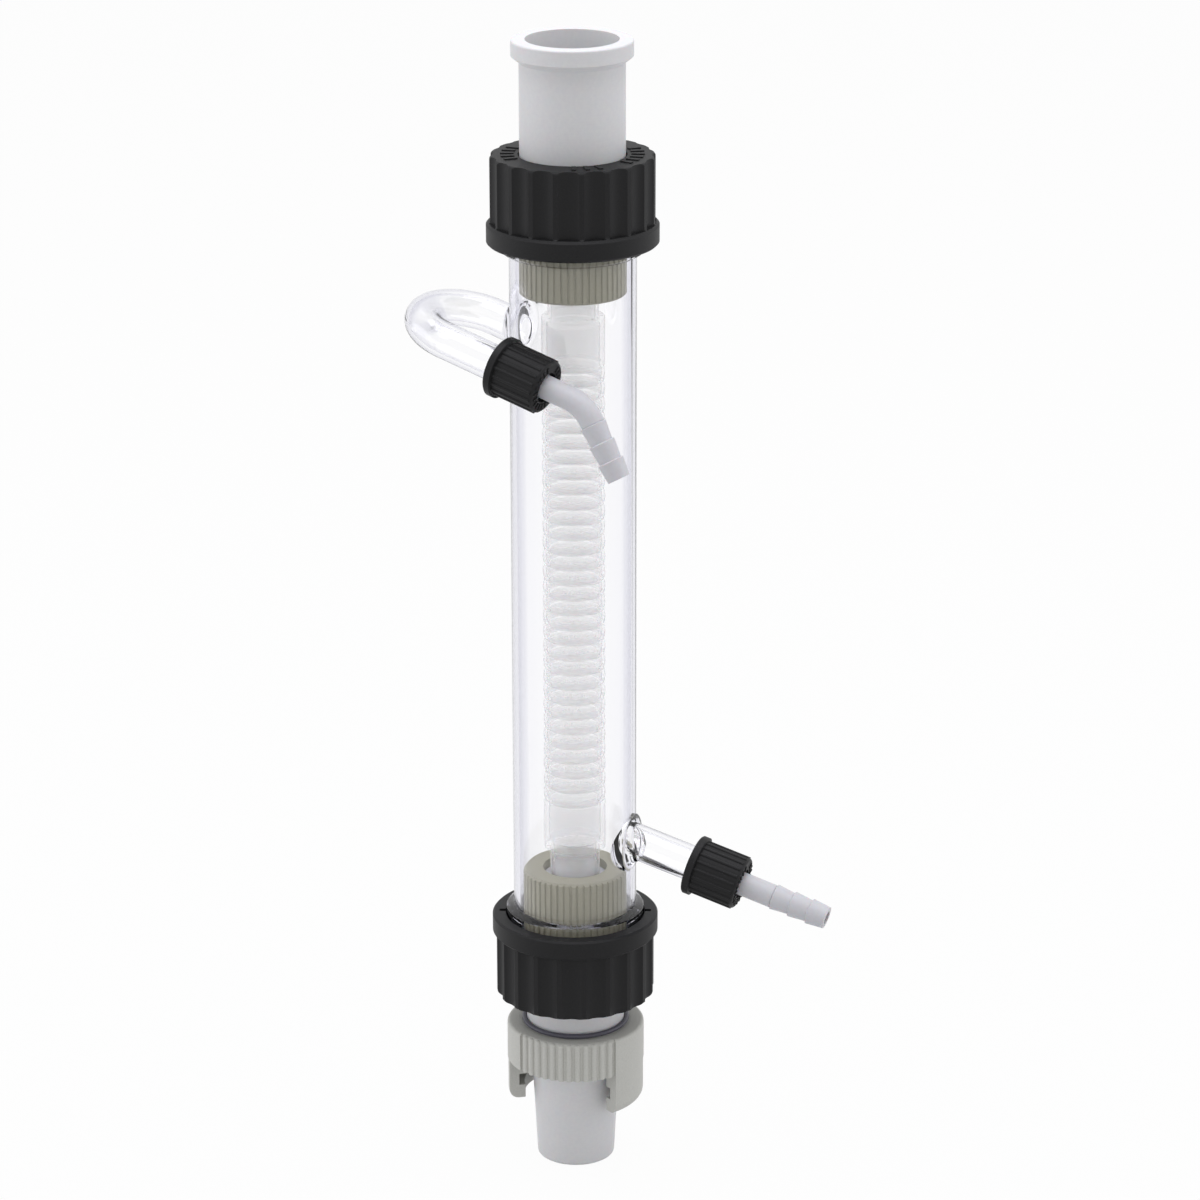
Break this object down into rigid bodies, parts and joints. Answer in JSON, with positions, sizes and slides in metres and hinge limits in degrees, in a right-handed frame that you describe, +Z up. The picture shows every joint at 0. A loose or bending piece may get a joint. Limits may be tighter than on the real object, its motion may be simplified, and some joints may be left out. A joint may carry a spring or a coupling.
{
  "type": "liebig condenser",
  "caption": "Upright water-cooled condenser: glass jacket with two side arms, corrugated vapour tube, screw caps, ground taper socket above and cone with release nut below.",
  "frame": {"origin": "On the main axis, at the end of the lower cone.", "axes": "+Z runs up the main axis to the socket's rim, and +X points along the lower water arm as seen from above."},
  "size_m": [0.138, 0.0676, 0.3755],
  "materials": {
    "jacket_glass": "clear blown borosilicate glass",
    "white_ptfe": "turned white fluoropolymer, waxy",
    "milky_tube": "thin translucent fluoropolymer",
    "black_cap": "moulded black plastic",
    "beige_nut": "moulded glass-filled plastic",
    "grey_nut": "moulded grey plastic",
    "white_nozzle": "turned white fluoropolymer",
    "flat_seal": "silicone rubber",
    "dark_ring": "dark elastomer cord"
  },
  "bodies": {
    "condenser": {"glass_jacket": "jacket_glass", "upper_socket": "white_ptfe", "lower_cone": "white_ptfe", "corrugated_tube": "milky_tube", "upper_cap_seal": "flat_seal", "lower_cap_seal": "flat_seal", "upper_union_nut": "beige_nut", "lower_union_nut": "beige_nut", "upper_ferrule": "white_ptfe", "lower_ferrule": "white_ptfe", "neck_ring": "dark_ring", "upper_arm_seal": "flat_seal", "lower_arm_seal": "flat_seal"},
    "upper_cap": {"upper_cap": "black_cap"},
    "lower_cap": {"lower_cap": "black_cap"},
    "release_nut": {"release_nut": "grey_nut"},
    "upper_arm_cap": {"upper_arm_cap": "black_cap"},
    "lower_arm_cap": {"lower_arm_cap": "black_cap"},
    "upper_nozzle": {"upper_nozzle": "white_nozzle"},
    "lower_nozzle": {"lower_nozzle": "white_nozzle"}
  },
  "joints": [
    {"name": "upper_cap_turn", "type": "hinge", "parent": "condenser", "child": "upper_cap", "pos_m": [0, 0, 0.3255], "axis": [0, 0, 1], "range_deg": [0, 540]},
    {"name": "lower_cap_turn", "type": "hinge", "parent": "condenser", "child": "lower_cap", "pos_m": [0, 0, 0.0725], "axis": [0, 0, -1], "range_deg": [0, 540]},
    {"name": "release_nut_turn", "type": "hinge", "parent": "condenser", "child": "release_nut", "pos_m": [0, 0, 0.0415], "axis": [0, 0, -1], "range_deg": [0, 450]},
    {"name": "upper_arm_cap_turn", "type": "hinge", "parent": "condenser", "child": "upper_arm_cap", "pos_m": [-0.01182, -0.02919, 0.27756], "axis": [0.9513, -0.1677, -0.2588], "range_deg": [0, 900]},
    {"name": "lower_arm_cap_turn", "type": "hinge", "parent": "condenser", "child": "lower_arm_cap", "pos_m": [0.04211, 0, 0.10822], "axis": [0.9659, 0, -0.2588], "range_deg": [0, 900]},
    {"name": "upper_nozzle_swivel", "type": "hinge", "parent": "condenser", "child": "upper_nozzle", "pos_m": [-0.01182, -0.02919, 0.27756], "axis": [0.9513, -0.1677, -0.2588], "continuous": true},
    {"name": "lower_nozzle_swivel", "type": "hinge", "parent": "condenser", "child": "lower_nozzle", "pos_m": [0.04211, 0, 0.10822], "axis": [0.9659, 0, -0.2588], "continuous": true}
  ]
}
